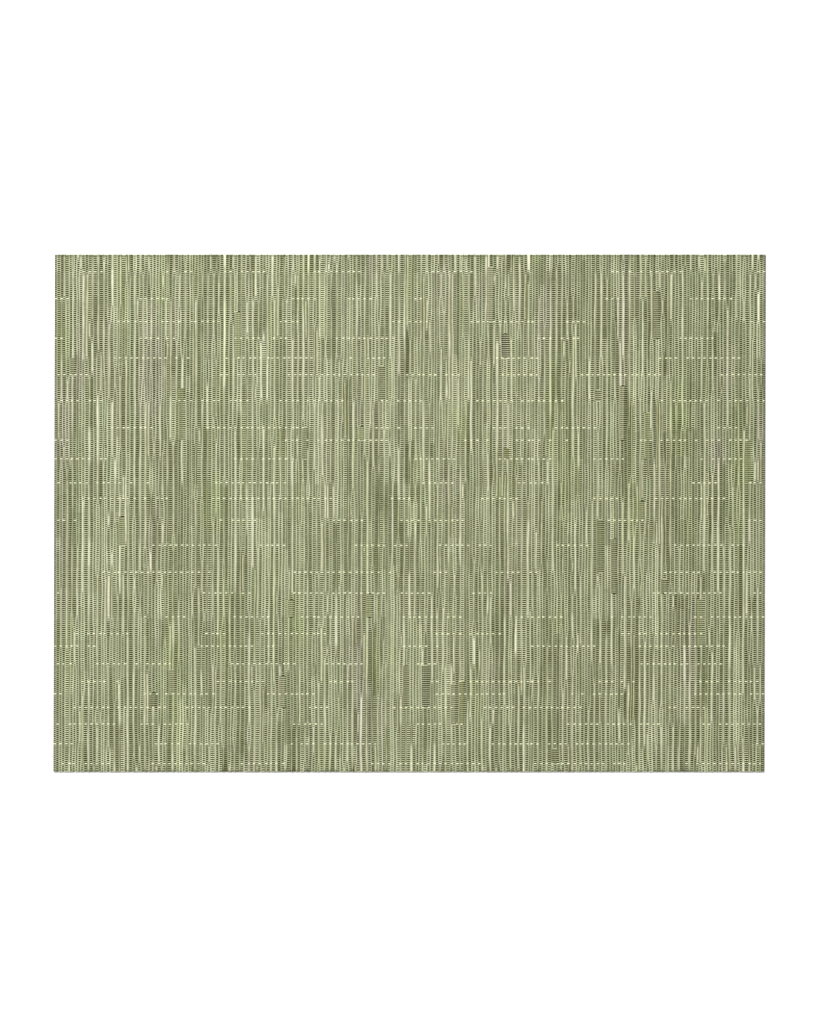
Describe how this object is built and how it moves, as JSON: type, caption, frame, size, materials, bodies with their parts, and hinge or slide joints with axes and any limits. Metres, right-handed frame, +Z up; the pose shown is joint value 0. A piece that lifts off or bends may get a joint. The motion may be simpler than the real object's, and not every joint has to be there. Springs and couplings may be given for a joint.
{
  "type": "bamboo-pattern woven placemat",
  "caption": "Flat rectangular table placemat of woven coated yarn with fine lengthwise ribs on both faces and plain cut edges; it lies on a table under a place setting.",
  "frame": {"origin": "under the middle of the mat, on the surface that it lies on", "axes": "+X to the right along the long side, +Y from the front edge to the back edge along the ribs, +Z up"},
  "size_m": [0.4836, 0.351, 0.0016],
  "materials": {
    "woven_yarn": "woven plastic-coated yarn in sage and olive greens, soft satin sheen"
  },
  "bodies": {
    "root": {"placemat_cloth": "woven_yarn"}
  },
  "joints": []
}
